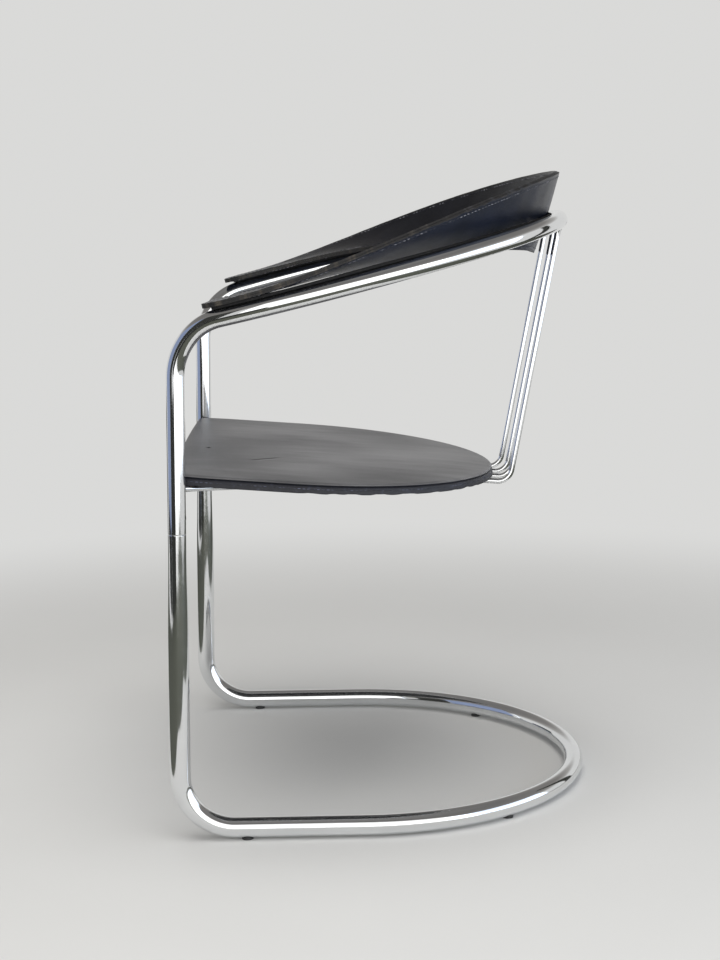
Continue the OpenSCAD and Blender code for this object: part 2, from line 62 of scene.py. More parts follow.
class Wire:
    """A socket of a node tree; arithmetic on it adds Math nodes."""

    def __init__(self, tree, socket=None):
        self.tree = tree
        self.socket = socket

    def node(self, kind, settings=None, inputs=None, out=0):
        """Any node: its type, its settings or ramp stops, and its sockets' values or wires."""
        made = self.tree.nodes.new(kind)
        for name, value in (settings or {}).items():
            if name == "stops":
                ramp = made.color_ramp.elements
                ramp[0].position, ramp[0].color = value[0]
                ramp[1].position, ramp[1].color = value[-1]
                for place, colour in value[1:-1]:
                    ramp.new(place).color = colour
            else:
                setattr(made, name, value)
        for name, value in (inputs or {}).items():
            if isinstance(value, Wire):
                self.tree.links.new(value.socket, made.inputs[name])
            else:
                made.inputs[name].default_value = value
        return Wire(self.tree, made.outputs[out])

    def math(self, operation, other=0.0):
        return self.node("ShaderNodeMath", {"operation": operation}, {0: self, 1: other})

    def __add__(self, other):
        return self.math("ADD", other)

    def __radd__(self, other):
        return self.math("ADD", other)

    def __sub__(self, other):
        return self.math("SUBTRACT", other)

    def __rsub__(self, other):
        return self.node("ShaderNodeMath", {"operation": "SUBTRACT"}, {0: other, 1: self})

    def __mul__(self, other):
        return self.math("MULTIPLY", other)

    def __rmul__(self, other):
        return self.math("MULTIPLY", other)

    def step(self, low, high):
        """0 below low, 1 above high, smooth between them."""
        return self.node("ShaderNodeMapRange", {"interpolation_type": "SMOOTHSTEP"},
                         {"Value": self, "From Min": low, "From Max": high})

    def colours(self, first, second):
        """The first colour where this is 0, the second where it is 1."""
        return self.node("ShaderNodeMix", {"data_type": "RGBA"}, {0: self, 6: first, 7: second}, out=2)

    def noise(self, scale, detail=3.0, rough=0.5):
        return self.node("ShaderNodeTexNoise", None,
                         {"Vector": self, "Scale": scale, "Detail": detail, "Roughness": rough})

    def cells(self, scale, feature="F1"):
        return self.node("ShaderNodeTexVoronoi", {"feature": feature}, {"Vector": self, "Scale": scale})

    def bump(self, distance):
        """This height, as a normal."""
        return self.node("ShaderNodeBump", None, {"Height": self, "Distance": distance})


def finish(name, plain, varied):
    """A Principled finish: plain gives its even values, and varied(wire) the wires of its other sockets."""
    made = bpy.data.materials.new(name)
    made.use_nodes = True
    tree = made.node_tree
    shader = tree.nodes["Principled BSDF"]
    for socket, value in plain.items():
        shader.inputs[socket].default_value = value
    for socket, wire in varied(Wire(tree)).items():
        tree.links.new(wire.socket, shader.inputs[socket])
    return made


def on_object(wire):
    """Object coordinates."""
    return wire.node("ShaderNodeTexCoord", out=3)


def chrome_plate(wire):
    place = on_object(wire)
    haze = place.noise(9.0, 4.0, 0.6)
    smear = place.noise(70.0, 5.0, 0.65)
    pits = 1 - place.cells(420.0).step(0.05, 0.16)
    worn = pits * place.noise(26.0, 2.0).step(0.58, 0.7)
    clean = haze.step(0.35, 0.7).colours((0.80, 0.81, 0.82, 1), (0.86, 0.87, 0.88, 1))
    return {"Base Color": worn.colours(clean, (0.42, 0.40, 0.37, 1)),
            "Roughness": 0.065 + 0.06 * smear.step(0.45, 0.8) + 0.32 * worn}


tube_chrome = finish("tube_chrome", {"Metallic": 1.0}, chrome_plate)


def tree_with(name, inputs):
    """An empty Geometry Nodes tree with these named inputs, and the wire of each."""
    tree = bpy.data.node_groups.new(name, "GeometryNodeTree")
    face = tree.interface
    face.new_socket("Geometry", in_out="INPUT", socket_type="NodeSocketGeometry")
    for label, kind in inputs:
        face.new_socket(label, in_out="INPUT", socket_type="NodeSocket" + kind)
    face.new_socket("Geometry", in_out="OUTPUT", socket_type="NodeSocketGeometry")
    entry = tree.nodes.new("NodeGroupInput")
    return tree, {socket.name: Wire(tree, socket) for socket in entry.outputs if socket.name}


def end_tree(tree, shape, material):
    """Ends a tree: real geometry with its material."""
    real = shape.node("GeometryNodeRealizeInstances", None, {"Geometry": shape})
    dressed = real.node("GeometryNodeSetMaterial", None, {"Geometry": real, "Material": material})
    leave = tree.nodes.new("NodeGroupOutput")
    tree.links.new(dressed.socket, leave.inputs["Geometry"])


def grown(name, mesh, tree, values):
    """The plain mesh object that a tree makes from a mesh, with the tree's inputs set by name."""
    seed = bpy.data.objects.new(name + "_seed", mesh)
    bpy.context.scene.collection.objects.link(seed)
    grow = seed.modifiers.new("grow", "NODES")
    grow.node_group = tree
    for item in tree.interface.items_tree:
        if item.in_out == "INPUT" and item.name in values:
            grow[item.identifier] = values[item.name]
    ready = seed.evaluated_get(bpy.context.evaluated_depsgraph_get())
    made = bpy.data.objects.new(name, bpy.data.meshes.new_from_object(ready))
    bpy.data.objects.remove(seed)
    bpy.context.scene.collection.objects.link(made)
    return made


tube_tree, tube_in = tree_with("bent_tube", [("Sides", "Int"), ("Material", "Material")])
tube_line = tube_in["Geometry"].node("GeometryNodeMeshToCurve", None, {"Mesh": tube_in["Geometry"]})
tube_ring = tube_line.node("GeometryNodeCurvePrimitiveCircle", None,
                           {"Resolution": tube_in["Sides"], "Radius": 1.0})
tube_thick = tube_line.node("GeometryNodeInputNamedAttribute", {"data_type": "FLOAT"}, {"Name": "thick"})
tube_skin = tube_line.node("GeometryNodeCurveToMesh", None,
                           {"Curve": tube_line, "Profile Curve": tube_ring, "Scale": tube_thick,
                            "Fill Caps": True})
end_tree(tube_tree, tube_skin, tube_in["Material"])


def bent_line(corners, turn_step=radians(2), longest=0.012, shortest=1e-5):
    """Points of a centre line: corners are (place, bend radius), with 0 where it doesn't bend."""
    places = [Vector(place) for place, _ in corners]
    line = [places[0]]
    for before, at, after, (_, radius) in zip(places, places[1:], places[2:], corners[1:]):
        if not radius:
            line.append(at)
            continue
        back = (before - at).normalized()
        ahead = (after - at).normalized()
        turn = pi - back.angle(ahead)
        run = radius * tan(turn / 2)
        centre = at + (back + ahead).normalized() * radius / cos(turn / 2)
        start = at + back * run - centre
        axis = start.cross(at + ahead * run - centre).normalized()
        steps = max(2, ceil(turn / turn_step))
        line += [centre + Matrix.Rotation(turn * i / steps, 3, axis) @ start for i in range(steps + 1)]
    line.append(places[-1])
    fine = [line[0]]
    for point in line[1:]:
        gap = (point - fine[-1]).length
        if gap < shortest:
            continue
        start = fine[-1]
        count = ceil(gap / longest)
        fine += [start.lerp(point, i / count) for i in range(1, count + 1)]
    return fine


def rounded_ends(line):
    """The line with extra points close to each end, so that only the very end looks round."""
    ahead = (line[1] - line[0]).normalized() * end_round
    back = (line[-2] - line[-1]).normalized() * end_round
    return [line[0], line[0] + ahead, line[0] + ahead * 2, *line[1:-1],
            line[-1] + back * 2, line[-1] + back, line[-1]]


def tube(name, corners, radius_at, material, sides=tube_sides):
    """A swept tube or rod: radius_at gives its radius at a distance from its start and from its end."""
    line = rounded_ends(bent_line(corners))
    runs = [0.0]
    for a, b in zip(line, line[1:]):
        runs.append(runs[-1] + (b - a).length)
    mesh = bpy.data.meshes.new(name + "_line")
    mesh.from_pydata(line, [(i, i + 1) for i in range(len(line) - 1)], [])
    thick = mesh.attributes.new("thick", "FLOAT", "POINT")
    thick.data.foreach_set("value", [radius_at(run, runs[-1] - run) for run in runs])
    made = grown(name, mesh, tube_tree, {"Sides": sides, "Material": material})
    for face in made.data.polygons:
        face.use_smooth = len(face.vertices) == 4
    return made


def ease(x):
    """0 up to 0, 1 from 1, smooth between them."""
    x = min(1, max(0, x))
    return x * x * (3 - 2 * x)


def base_radius(from_start, from_end):
    run = min(from_start, from_end)
    if run < end_round / 2:
        return upper_r - end_round
    return upper_r + (base_r - upper_r) * ease((run - spigot_down) / swage_len)


base_corners = [(legs_frame @ Vector((-leg_x, 0, seam_z)), 0), ((-leg_x, leg_y, base_z), foot_r),
                ((-leg_x, loop_y + leg_x, base_z), leg_x), ((leg_x, loop_y + leg_x, base_z), leg_x),
                ((leg_x, leg_y, base_z), foot_r), (legs_frame @ Vector((leg_x, 0, seam_z)), 0)]
base_piece = tube("floor_loop_and_legs", base_corners, base_radius, tube_chrome)
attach(base_piece, "root")
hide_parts("base_tube")

# Upper legs, arms and back: one 22 mm chromed tube. Above the joint it runs straight up, bends over a
# small radius and swings round the back in one plane that climbs to the rear.
arm_h = 0.622
corner_r = 0.074
arm_bulge = 0.040
arm_r = leg_x + arm_bulge
arm_tilt = radians(14.3)
corner_z = (arm_h - base_z) / cos(leg_lean)
joint_gap = 0.0001
arc_half = radians(110)
for _ in range(12):
    corner_run = corner_r * tan(acos(sin(arc_half) * sin(arm_tilt)) / 2)
    arc_half = pi - asin(leg_x / hypot(arm_r, corner_run)) - atan(corner_run / arm_r)
arc_s = corner_run * sin(arc_half) - arm_r * cos(arc_half)
arms_frame = (legs_frame @ Matrix.Translation((0, 0, corner_z)) @ Matrix.Rotation(arm_tilt, 4, "X")
              @ Matrix.Translation((0, arc_s, 0)))
arc_steps = 110


def on_arc(turn, out, height):
    """A place by its angle from the middle of the back, its distance out from the tube and its height."""
    return arms_frame @ Vector(((arm_r + out) * sin(turn), (arm_r + out) * cos(turn), height))


def upper_radius(from_start, from_end):
    return upper_r - end_round if min(from_start, from_end) < end_round / 2 else upper_r


arc_points = [(on_arc(arc_half * (2 * i / arc_steps - 1), 0, 0), 0) for i in range(arc_steps + 1)]
upper_corners = [(legs_frame @ Vector((-leg_x, 0, seam_z + joint_gap)), 0),
                 (legs_frame @ Vector((-leg_x, 0, corner_z)), corner_r), *arc_points,
                 (legs_frame @ Vector((leg_x, 0, corner_z)), corner_r),
                 (legs_frame @ Vector((leg_x, 0, seam_z + joint_gap)), 0)]
upper_piece = tube("arm_and_back_tube", upper_corners, upper_radius, tube_chrome)

# Grub screws: each locks the pin inside a leg from the rear, through a drilled hole. Black steel with a
# hexagonal socket. The pins are plain turned steel, out of sight.
grub_d = 0.005
grub_up = 0.020
grub_key = 0.0025
grub_deep = 0.0022
grub_floor = 0.001
grub_chamfer = 0.0004
grub_sunk = 0.0005
grub_sides = 30


def turned_steel(wire):
    place = on_object(wire)
    marks = place.noise(900.0, 2.0)
    return {"Roughness": 0.3 + 0.18 * marks,
            "Base Color": place.noise(40.0).colours((0.50, 0.50, 0.51, 1), (0.62, 0.62, 0.63, 1)),
            "Normal": marks.bump(0.00003)}


def blacked_steel(wire):
    place = on_object(wire)
    chips = place.noise(160.0, 4.0, 0.7).step(0.66, 0.74)
    return {"Base Color": chips.colours((0.016, 0.016, 0.018, 1), (0.10, 0.095, 0.09, 1)),
            "Roughness": 0.42 + 0.2 * place.noise(60.0),
            "Metallic": 0.25 + 0.6 * chips,
            "Normal": place.noise(1400.0, 2.0).bump(0.00004)}


plain_steel = finish("plain_steel", {"Metallic": 1.0}, turned_steel)
black_steel = finish("black_steel", {}, blacked_steel)


def mesh_object(name, work, materials):
    """The object of a finished mesh, with its materials."""
    mesh = bpy.data.meshes.new(name)
    work.to_mesh(mesh)
    made = bpy.data.objects.new(name, mesh)
    bpy.context.scene.collection.objects.link(made)
    for material in materials:
        mesh.materials.append(material)
    return made


def join_rings(work, rings, closed=True):
    """Quads between rings of vertices of equal counts."""
    for one, two in zip(rings, rings[1:]):
        count = len(one)
        for j in range(count if closed else count - 1):
            k = (j + 1) % count
            work.faces.new((one[j], one[k], two[k], two[j]))


def set_screw(work, place):
    """A flat-faced set screw with a six-sided socket; place puts its face at z = 0."""
    turns = [2 * pi * j / grub_sides for j in range(grub_sides)]
    body = [grub_d / 2] * grub_sides
    face = [grub_d / 2 - grub_chamfer] * grub_sides
    socket = [grub_key / 2 / cos(turn % (pi / 3) - pi / 6) for turn in turns]
    rings = []
    for sizes, height in ((body, -grub_deep - grub_floor), (body, -grub_chamfer), (face, 0.0),
                          (socket, 0.0), (socket, -grub_deep)):
        rings.append([work.verts.new(place @ Vector((size * cos(turn), size * sin(turn), height)))
                      for size, turn in zip(sizes, turns)])
    join_rings(work, rings)
    work.faces.new(rings[0][::-1])
    work.faces.new(rings[-1])


grub_places = []
for side in (-1, 1):
    axis = legs_frame @ Matrix.Translation((side * leg_x, 0, seam_z + grub_up))
    rearward = axis @ Matrix.Rotation(-pi / 2, 4, "X")
    grub_places.append(rearward @ Matrix.Translation((0, 0, upper_r - grub_sunk)))
grub_work = bmesh.new()
for place in grub_places:
    set_screw(grub_work, place)
bmesh.ops.recalc_face_normals(grub_work, faces=grub_work.faces)
grub_piece = mesh_object("set_screws", grub_work, [black_steel])

drill_work = bmesh.new()
for place in grub_places:
    bmesh.ops.create_cone(drill_work, cap_ends=True, segments=grub_sides, radius1=grub_d / 2,
                          radius2=grub_d / 2, depth=grub_d, matrix=place)
drill = mesh_object("drill", drill_work, [tube_chrome])
cut = upper_piece.modifiers.new("drill", "BOOLEAN")
cut.object = drill
cut.solver = "EXACT"
ready = upper_piece.evaluated_get(bpy.context.evaluated_depsgraph_get())
drilled = bpy.data.meshes.new_from_object(ready)
upper_piece.modifiers.clear()
upper_piece.data = drilled
bpy.data.objects.remove(drill)

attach(upper_piece, "root")
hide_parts("upper_tube")
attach(grub_piece, "root")
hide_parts("spigot_screws")


def paint(names, material):
    """Gives its finish to each CAD node that keeps its own shape."""
    for name in names:
        nodes[name].data.materials.clear()
        nodes[name].data.materials.append(material)


paint(["left_spigot", "right_spigot"], plain_steel)

# Front bar and rods: the bar is welded between the legs under the seat. Two outer rods start at the
# legs and two inner ones at the bar. All four run back under the seat and up to the back tube.
bar_r = 0.006
rod_r = 0.0035
rod_pitch = 0.044
seat_back_y = 0.403
rod_stand = 0.017
inner_rod_back = 0.0045
knee_ahead = 0.088
rod_bend_r = 0.018
knee_r = 0.040
rod_trail = 0.002
rod_sink = 0.0008
rod_into_leg = 0.001
rod_into_bar = 0.0015
weld_run = 0.004
weld_flare = 0.0010
seat_h = 0.448
seat_fall = radians(3.7)
seat_t = 0.0125
seat_gap = 0.0001
seat_z = (seat_h - base_z) / cos(leg_lean)
rod_z = -(seat_t + rod_r + seat_gap)
bar_z = -(seat_t + bar_r + seat_gap)
seat_frame = legs_frame @ Matrix.Translation((0, 0, seat_z)) @ Matrix.Rotation(-seat_fall, 4, "X")
outer_reach = seat_back_y + rod_stand
rod_knee_y = outer_reach - knee_ahead
rod_chrome = finish("rod_chrome", {"Metallic": 1.0}, chrome_plate)


def rod_ends(x, reach):
    """A rod's lower corner at this x, and its end just inside the back tube's wall."""
    foot = seat_frame @ Vector((x, reach, rod_z))
    back = arc_s + sqrt(arm_r * arm_r - x * x)
    head = legs_frame @ Vector((x, back * cos(arm_tilt) + rod_trail, corner_z + back * sin(arm_tilt)))
    return foot, head - (head - foot).normalized() * (upper_r - rod_sink)


def welded(radius):
    """The radius along a rod or bar that spreads into a weld at both ends."""
    def radius_at(from_start, from_end):
        run = min(from_start, from_end)
        return radius + weld_flare * max(0, 1 - run / weld_run) ** 2
    return radius_at


def rod_piece(name, x, node):
    side = 1 if x > 0 else -1
    outer = abs(x) > rod_pitch
    foot, head = rod_ends(x, outer_reach if outer else outer_reach + inner_rod_back)
    if outer:
        way = Vector((side * leg_x - x, -rod_knee_y, 0)).normalized()
        start = Vector((side * leg_x, 0, rod_z)) - way * (upper_r - rod_into_leg)
        corners = [(seat_frame @ start, 0), (seat_frame @ Vector((x, rod_knee_y, rod_z)), knee_r)]
    else:
        corners = [(seat_frame @ Vector((x, bar_r - rod_into_bar, rod_z)), 0)]
    corners += [(foot, rod_bend_r), (head, 0)]
    made = tube(name, corners, welded(rod_r), rod_chrome, sides=32)
    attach(made, "root")
    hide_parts(node)


rod_piece("outer_rod_left", -1.5 * rod_pitch, "left_outer_rod")
rod_piece("outer_rod_right", 1.5 * rod_pitch, "right_outer_rod")
rod_piece("inner_rod_left", -0.5 * rod_pitch, "left_inner_rod")
rod_piece("inner_rod_right", 0.5 * rod_pitch, "right_inner_rod")
bar_end = leg_x - upper_r + rod_sink
bar_corners = [(seat_frame @ Vector((x, 0, bar_z)), 0) for x in (-bar_end, bar_end)]
bar_piece = tube("front_cross_bar", bar_corners, welded(bar_r), tube_chrome, sides=40)
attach(bar_piece, "root")
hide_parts("front_bar")

# Saddle clips and their screws: bent steel straps that hold the seat board down on the rods. Zinc
# plated, and seen only from below.


def zinc_plate(wire):
    place = on_object(wire)
    bloom = place.noise(120.0, 4.0, 0.6)
    return {"Base Color": bloom.colours((0.46, 0.46, 0.45, 1), (0.68, 0.68, 0.69, 1)),
            "Roughness": 0.28 + 0.25 * bloom,
            "Normal": place.noise(700.0, 2.0).bump(0.00003)}


zinc = finish("zinc_plate", {"Metallic": 1.0}, zinc_plate)
paint(["rod_clips", "clip_screws", "strip_screws"], zinc)

# Seat board and lining: birch plywood, cut to a D and drilled for the clips' screws, with black lining
# cloth glued to its underside.


def birch(wire):
    place = on_object(wire)
    long = wire.node("ShaderNodeMapping", None, {"Vector": place, "Scale": (40.0, 4.0, 900.0)})
    grain = long.noise(2.0, 5.0, 0.6)
    return {"Base Color": grain.colours((0.50, 0.34, 0.19, 1), (0.70, 0.53, 0.34, 1)),
            "Roughness": 0.55 + 0.2 * grain,
            "Normal": grain.bump(0.0001)}


birch_ply = finish("birch_ply", {}, birch)
paint(["seat_board"], birch_ply)

seat_side_gap = 0.005
seat_w = 2 * (leg_x - seat_side_gap)
seat_side_y = 0.140
seat_front = 0.008
seat_bow = 0.004
corner_w = 0.017
corner_l = 0.053
side_slope = 0.0025
seat_hide = 0.0022
lining_t = 0.0008
board_inset = side_slope + seat_hide + seat_gap
front_half = seat_w / 2 - corner_w
seat_mid = Vector((0, (seat_back_y - seat_front) / 2))


def seat_outline(inset, front_steps=36, corner_steps=12, rear_steps=150):
    """The seat's outline from above, anticlockwise, drawn in by an inset."""
    points = []
    for i in range(front_steps + 1):
        share = 2 * i / front_steps - 1
        points.append((share * front_half, inset - seat_front - seat_bow * (1 - share * share)))
    for i in range(1, corner_steps + 1):
        turn = pi / 2 * (i / corner_steps - 1)
        points.append((front_half + (corner_w - inset) * cos(turn),
                       corner_l - seat_front + (corner_l - inset) * sin(turn)))
    for i in range(rear_steps + 1):
        turn = pi * i / rear_steps
        points.append(((seat_w / 2 - inset) * cos(turn),
                       seat_side_y + (seat_back_y - seat_side_y - inset) * sin(turn)))
    for i in range(corner_steps):
        turn = pi * (1 + i / corner_steps / 2)
        points.append((-front_half + (corner_w - inset) * cos(turn),
                       corner_l - seat_front + (corner_l - inset) * sin(turn)))
    return [Vector(point) for point in points]


def seat_skin(name, loops, materials, capped=True):
    """A closed form from loops of (points, heights) in the seat's frame, with a flat UV map in metres."""
    work = bmesh.new()
    chart = work.loops.layers.uv.new("hide")
    flat = {}
    rings = []
    for points, heights in loops:
        ring = []
        for point, height in zip(points, heights):
            vert = work.verts.new(seat_frame @ Vector((point[0], point[1], height)))
            flat[vert] = (point[0], point[1])
            ring.append(vert)
        rings.append(ring)
    join_rings(work, rings)
    if capped:
        for ring in (rings[0], rings[-1]):
            work.faces.new(ring)
    for face in work.faces:
        face.smooth = True
        for loop in face.loops:
            loop[chart].uv = flat[loop.vert]
    bmesh.ops.recalc_face_normals(work, faces=work.faces)
    return mesh_object(name, work, materials)


def black_cloth(wire):
    chart = wire.node("ShaderNodeUVMap", {"uv_map": "hide"})
    threads = wire.node("ShaderNodeTexWave", {"bands_direction": "X"}, {"Vector": chart, "Scale": 420.0})
    picks = wire.node("ShaderNodeTexWave", {"bands_direction": "Y"}, {"Vector": chart, "Scale": 420.0})
    weave = threads.math("MAXIMUM", picks)
    return {"Base Color": weave.colours((0.010, 0.010, 0.011, 1), (0.035, 0.035, 0.038, 1)),
            "Roughness": 0.8 + 0.15 * chart.noise(40.0),
            "Normal": weave.bump(0.0002)}


lining_cloth = finish("lining_cloth", {"Sheen Weight": 0.2}, black_cloth)
lining_edge = seat_outline(board_inset)
lining_soft = 0.0002
lining_in = seat_outline(board_inset + lining_soft)
count = len(lining_edge)
lining_loops = [(lining_in, [-seat_t + lining_t] * count),
                (lining_edge, [-seat_t + lining_t - lining_soft] * count),
                (lining_edge, [-seat_t + lining_soft] * count), (lining_in, [-seat_t] * count)]
lining_piece = seat_skin("lining_under_seat", lining_loops, [lining_cloth])
lining_pairs = zip(lining_edge, lining_edge[1:] + lining_edge[:1])
lining_area = 0.5 * abs(sum(a.x * b.y - b.x * a.y for a, b in lining_pairs))
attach(lining_piece, "root")
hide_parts("seat_lining")

# Seat top: dark grey saddle leather, glued over a thin crown of foam. Its edge rolls down to the side
# strip, and it is paler towards the rear, with one crease and a few nicks. The crease and the nick are
# darkened with painted shade, and a painted highlight runs beside the crease.
crown = 0.0035
foam_edge = 0.0015
roll_w = 0.0055
roll_h = 0.0021
pad_rim = 0.007
pad_low_round = 0.0006
ripple_h = 0.0005
ripple_waves_x = 14
ripple_waves_y = 7
board_top = -(seat_hide + foam_edge)
crease_at = (0.129, 0.101)
crease_cos = 0.719
crease_sin = 0.695
nick_at = (0.0483, 0.0251)


def crown_height(share):
    return crown * (1 - share ** 4)


def pad_loops(inset, low, low_crown, high, roll, ripple):
    """Loops of a crowned pad, from the middle of its underside round to the middle of its top."""
    edge = [(depth, 1.0) for depth in (0.0, 0.0003, 0.0009, 0.0018, 0.003, 0.0045, pad_rim)]
    inner = [(pad_rim, share) for share in (0.96, 0.92, 0.87, 0.81, 0.74, 0.66, 0.57, 0.47, 0.36, 0.25,
                                            0.14, 0.04)]
    under = [(pad_rim, share) for share in (0.05, 0.4, 0.75, 1.0)]
    loops = []
    for depth, share in under + [(pad_low_round, 1.0)]:
        points = [seat_mid + (p - seat_mid) * share for p in seat_outline(inset + depth)]
        loops.append((points, [low + low_crown * crown_height(share)] * len(points)))
    for depth, share in edge + inner:
        points = [seat_mid + (p - seat_mid) * share for p in seat_outline(inset + depth)]
        whole = share * (1 - depth / (seat_w / 2))
        fall = roll * (1 - sqrt(1 - (1 - min(1, depth / roll_w)) ** 2))
        waves = [noise.noise(Vector((p.x * ripple_waves_x, p.y * ripple_waves_y, 3.0))) for p in points]
        lift = [ripple * (1 - share ** 3) * wave for wave in waves]
        loops.append((points, [high + crown_height(whole) - fall + one for one in lift]))
    return loops


def seat_hide_look(wire):
    chart = wire.node("ShaderNodeUVMap", {"uv_map": "hide"})
    across = wire.node("ShaderNodeSeparateXYZ", None, {"Vector": chart})
    back = wire.node("ShaderNodeSeparateXYZ", None, {"Vector": chart}, out=1)
    grain = chart.cells(1300.0, "DISTANCE_TO_EDGE").step(0.0, 0.22)
    fine = chart.noise(2600.0, 2.0)
    cloud = chart.noise(7.0, 4.0, 0.55)
    # Paler towards the rear and one side, in soft patches and long faint streaks
    long = wire.node("ShaderNodeMapping", None, {"Vector": chart, "Scale": (9.0, 1.6, 1.0)})
    streaks = long.noise(6.0, 5.0, 0.62)
    patches = chart.noise(5.5, 1.5, 0.4)
    spread = across * 0.2 + back * 1.7 + (patches - 0.5) * 1.9 + (streaks - 0.5) * 1.2
    # This mask makes the top paler towards the rear and one side.
    rubbed = spread.step(-0.35, 1.0)
    # A short diagonal crease and a nick, both darkened with painted shade, a painted highlight line along a
    # ridge beside the crease, and a few small dark marks
    beside = (back - crease_at[1]) * crease_sin + (across - crease_at[0]) * crease_cos
    along = (back - crease_at[1]) * crease_cos - (across - crease_at[0]) * crease_sin
    run_out = 1 - along.math("ABSOLUTE").step(0.012, 0.030)
    crease_and_shade = 0.75 * (1 - beside.math("ABSOLUTE").step(0.0008, 0.0036)) * run_out
    ridge_highlight = (1 - (beside - 0.006).math("ABSOLUTE").step(0.001, 0.004)) * run_out
    nick_off = (across - nick_at[0]).math("ABSOLUTE") + 1.6 * (back - nick_at[1]).math("ABSOLUTE")
    nick_and_shade = 1 - nick_off.step(0.003, 0.007)
    marks = (1 - chart.cells(70.0).step(0.02, 0.05)) * chart.noise(30.0).step(0.6, 0.64)
    dark = cloud.step(0.3, 0.75).colours((0.038, 0.038, 0.042, 1), (0.056, 0.056, 0.060, 1))
    # The pale tone also draws the painted highlight line beside the crease.
    worn = rubbed.math("MAXIMUM", ridge_highlight * 0.8).colours(dark, (0.185, 0.184, 0.190, 1))
    # Near black for the small marks, and as painted shade in the crease and the nick.
    cut = (marks * 0.7).math("MAXIMUM", crease_and_shade).math("MAXIMUM", nick_and_shade)
    return {"Base Color": cut.colours(worn, (0.004, 0.004, 0.004, 1)),
            "Roughness": 0.36 + 0.09 * cloud + 0.06 * streaks + 0.4 * cut,
            "Normal": (grain * 0.5 + fine * 0.5 - cut * 6.0).bump(0.00005)}


seat_leather = finish("seat_leather", {}, seat_hide_look)


def foam_cells(wire):
    place = on_object(wire)
    cells = place.cells(900.0)
    return {"Base Color": cells.colours((0.22, 0.22, 0.22, 1), (0.34, 0.34, 0.34, 1)),
            "Roughness": 0.9 + 0.05 * cells,
            "Normal": cells.bump(0.0005)}


foam_finish = finish("foam_finish", {}, foam_cells)
cover_loops = pad_loops(side_slope, -seat_hide, 1, 0, roll_h, ripple_h)
cover_piece = seat_skin("seat_leather_top", cover_loops, [seat_leather])
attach(cover_piece, "root")
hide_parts("seat_cover")
foam_loops = pad_loops(board_inset, board_top, 0, board_top + foam_edge - seat_gap, 0, 0)
foam_piece = seat_skin("seat_foam_pad", foam_loops, [foam_finish])
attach(foam_piece, "root")
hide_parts("seat_foam")

# Side strip: a narrow strip of the same leather stitched round the seat's side. It flares to a raw,
# ragged lower edge, creased and worn from use.
cover_gap = 0.00015
strip_top = -seat_hide - cover_gap
groove_w = 0.0016
groove_h = 0.0015
side_profile = [(side_slope + seat_hide, strip_top), (side_slope + groove_w, strip_top),
                (side_slope + groove_w, strip_top - groove_h), (side_slope + 0.0004, strip_top - groove_h),
                (side_slope - 0.0003, strip_top - groove_h - 0.0005),
                (side_slope - 0.0009, strip_top - 0.0042), (0.0009, -0.0090), (0.0003, -0.0113),
                (0.0002, -seat_t + 0.0005), (0.0006, -seat_t), (seat_hide - 0.0004, -seat_t),
                (seat_hide, -seat_t + 0.0004), (side_slope + seat_hide, strip_top)]
ragged = 0.0026
ragged_waves = 60
ragged_dip = 0.10


def side_loops():
    """Loops of the strip down its outer face and up its inner one, ragged towards the lower edge."""
    loops = []
    for inset, height in side_profile:
        points = seat_outline(inset)
        low = max(0.0, (strip_top - height) / (seat_t + strip_top))
        depth = low ** 4 * ragged
        waves = [noise.noise(Vector((p.x * ragged_waves, p.y * ragged_waves, 1.0))) for p in points]
        loops.append((points, [height + depth * max(-ragged_dip, wave) for wave in waves]))
    return loops


def worn_hide(wire):
    """Near-black leather with creases, scuffs and a bluish shine."""
    place = on_object(wire)
    grain = place.cells(1200.0, "DISTANCE_TO_EDGE").step(0.0, 0.25)
    creases = place.noise(260.0, 4.0, 0.6)
    scuffs = place.noise(90.0, 4.0, 0.7).step(0.55, 0.72)
    return {"Base Color": scuffs.colours((0.0075, 0.008, 0.014, 1), (0.026, 0.029, 0.050, 1)),
            "Roughness": 0.40 + 0.22 * creases,
            "Normal": (grain * 0.4 + creases * 1.2).bump(0.00018)}


side_leather = finish("side_leather", {"Coat Weight": 0.15, "Coat Roughness": 0.4}, worn_hide)
side_piece = seat_skin("seat_side_leather", side_loops(), [side_leather], capped=False)
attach(side_piece, "root")
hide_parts("seat_side_strip")

# Stitches: navy waxed thread, sewn through the side strip and along both edges of the band. Each shows
# as a short rounded dash, turned along its seam.
stitch_pitch = 0.0058
stitch_len = 0.0040
stitch_thick = 0.0009
stitch_tree, stitch_in = tree_with("stitches", [("Length", "Float"), ("Thread", "Float"),
                                                ("Material", "Material")])
stitch_run = stitch_in["Geometry"].node("GeometryNodeInputNamedAttribute", {"data_type": "FLOAT_VECTOR"},
                                        {"Name": "run"})
stitch_out = stitch_run.node("GeometryNodeInputNamedAttribute", {"data_type": "FLOAT_VECTOR"},
                             {"Name": "out"})
stitch_turn = stitch_run.node("FunctionNodeAxesToRotation", {"primary_axis": "Z", "secondary_axis": "X"},
                              {"Primary Axis": stitch_out, "Secondary Axis": stitch_run})
stitch_ball = stitch_run.node("GeometryNodeMeshUVSphere", None, {"Segments": 8, "Rings": 6, "Radius": 0.5})
stitch_size = stitch_run.node("ShaderNodeCombineXYZ", None,
                              {"X": stitch_in["Length"], "Y": stitch_in["Thread"], "Z": stitch_in["Thread"]})
stitch_points = stitch_run.node("GeometryNodeMeshToPoints", None, {"Mesh": stitch_in["Geometry"]})
stitch_all = stitch_run.node("GeometryNodeInstanceOnPoints", None,
                             {"Points": stitch_points, "Instance": stitch_ball, "Rotation": stitch_turn,
                              "Scale": stitch_size})
end_tree(stitch_tree, stitch_all, stitch_in["Material"])


